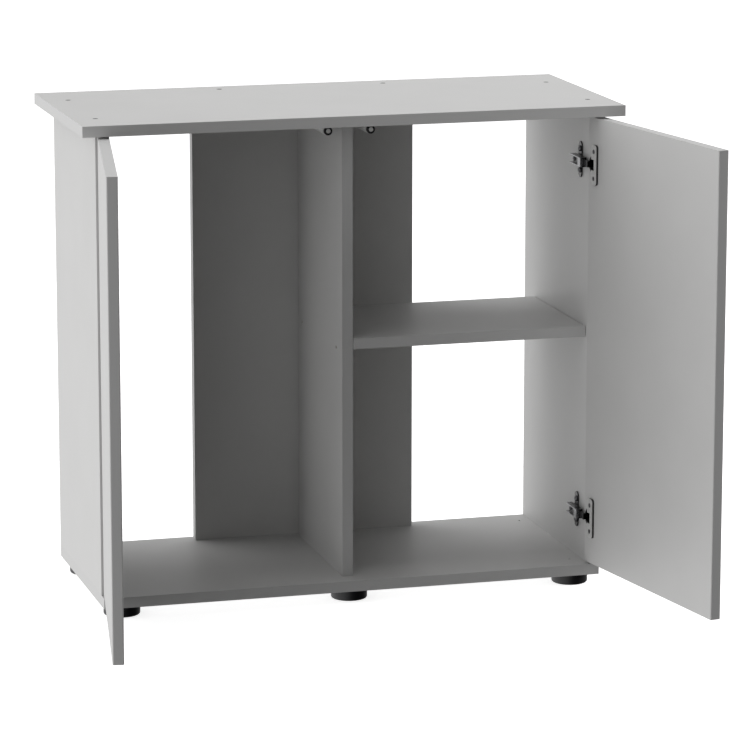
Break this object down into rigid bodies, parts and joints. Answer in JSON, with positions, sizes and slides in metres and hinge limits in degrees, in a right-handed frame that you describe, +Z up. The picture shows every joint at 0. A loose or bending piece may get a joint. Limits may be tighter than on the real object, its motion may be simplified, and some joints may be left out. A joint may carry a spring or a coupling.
{
  "type": "aquarium stand cabinet",
  "caption": "Low two-door board cabinet for carrying an aquarium, open at the back beside a central upright, with round feet, concealed hinges and push latches.",
  "frame": {"origin": "on the floor, under the middle of the top panel", "axes": "+X to the cabinet's right as seen from the front, +Y to the back, +Z up"},
  "size_m": [0.8816, 0.6954, 0.73],
  "materials": {
    "board": "matt grey melamine on particle board",
    "nickel": "nickel-plated steel",
    "pin_steel": "ground steel",
    "zinc": "zinc-plated steel",
    "spring_steel": "drawn spring wire",
    "cap": "matt dark grey",
    "dowel": "raw beech",
    "foot_plastic": "satin black",
    "latch_plastic": "matt light grey",
    "plunger_plastic": "dark, shiny end"
  },
  "bodies": {
    "cabinet": {"top_panel": "board", "bottom_panel": "board", "side_panel_left": "board", "side_panel_right": "board", "partition_panel": "board", "back_panel": "board", "shelf": "board", "shelf_pins": "nickel", "top_screws": "zinc", "top_screw_caps": "cap", "bottom_screws": "zinc", "partition_dowels": "dowel", "foot_front_left": "foot_plastic", "foot_front_middle": "foot_plastic", "foot_front_right": "foot_plastic", "foot_back_left": "foot_plastic", "foot_back_middle": "foot_plastic", "foot_back_right": "foot_plastic", "foot_screws": "zinc", "hinge_plate_upper_left": "nickel", "hinge_plate_lower_left": "nickel", "hinge_plate_upper_right": "nickel", "hinge_plate_lower_right": "nickel", "hinge_arm_upper_left": "nickel", "hinge_arm_lower_left": "nickel", "hinge_arm_upper_right": "nickel", "hinge_arm_lower_right": "nickel", "hinge_plate_screws": "zinc", "hinge_adjusting_screws": "zinc", "latch_screws": "zinc", "latch_housing_left": "latch_plastic", "latch_housing_right": "latch_plastic", "latch_spring_left": "spring_steel", "latch_spring_right": "spring_steel"},
    "door_left": {"door_left": "board", "hinge_cup_upper_left": "nickel", "hinge_cup_lower_left": "nickel", "hinge_pin_upper_left": "pin_steel", "hinge_pin_lower_left": "pin_steel", "cup_screws_left": "zinc"},
    "door_right": {"door_right": "board", "hinge_cup_upper_right": "nickel", "hinge_cup_lower_right": "nickel", "hinge_pin_upper_right": "pin_steel", "hinge_pin_lower_right": "pin_steel", "cup_screws_right": "zinc"},
    "plunger_left": {"latch_plunger_left": "plunger_plastic"},
    "plunger_right": {"latch_plunger_right": "plunger_plastic"}
  },
  "joints": [
    {"name": "left_door_hinge", "type": "hinge", "parent": "cabinet", "child": "door_left", "pos_m": [-0.3694, -0.152, 0.374], "axis": [0, 0, 1], "range_deg": [0, 100]},
    {"name": "right_door_hinge", "type": "hinge", "parent": "cabinet", "child": "door_right", "pos_m": [0.3694, -0.152, 0.374], "axis": [0, 0, -1], "range_deg": [0, 100]},
    {"name": "left_latch_push", "type": "slide", "parent": "cabinet", "child": "plunger_left", "axis": [0, 1, 0], "range_m": [0, 0.0035], "stiffness_N_per_m": 600, "springref_m": -0.004, "deforming": ["latch_spring_left"]},
    {"name": "right_latch_push", "type": "slide", "parent": "cabinet", "child": "plunger_right", "axis": [0, 1, 0], "range_m": [0, 0.0035], "stiffness_N_per_m": 600, "springref_m": -0.004, "deforming": ["latch_spring_right"]}
  ]
}
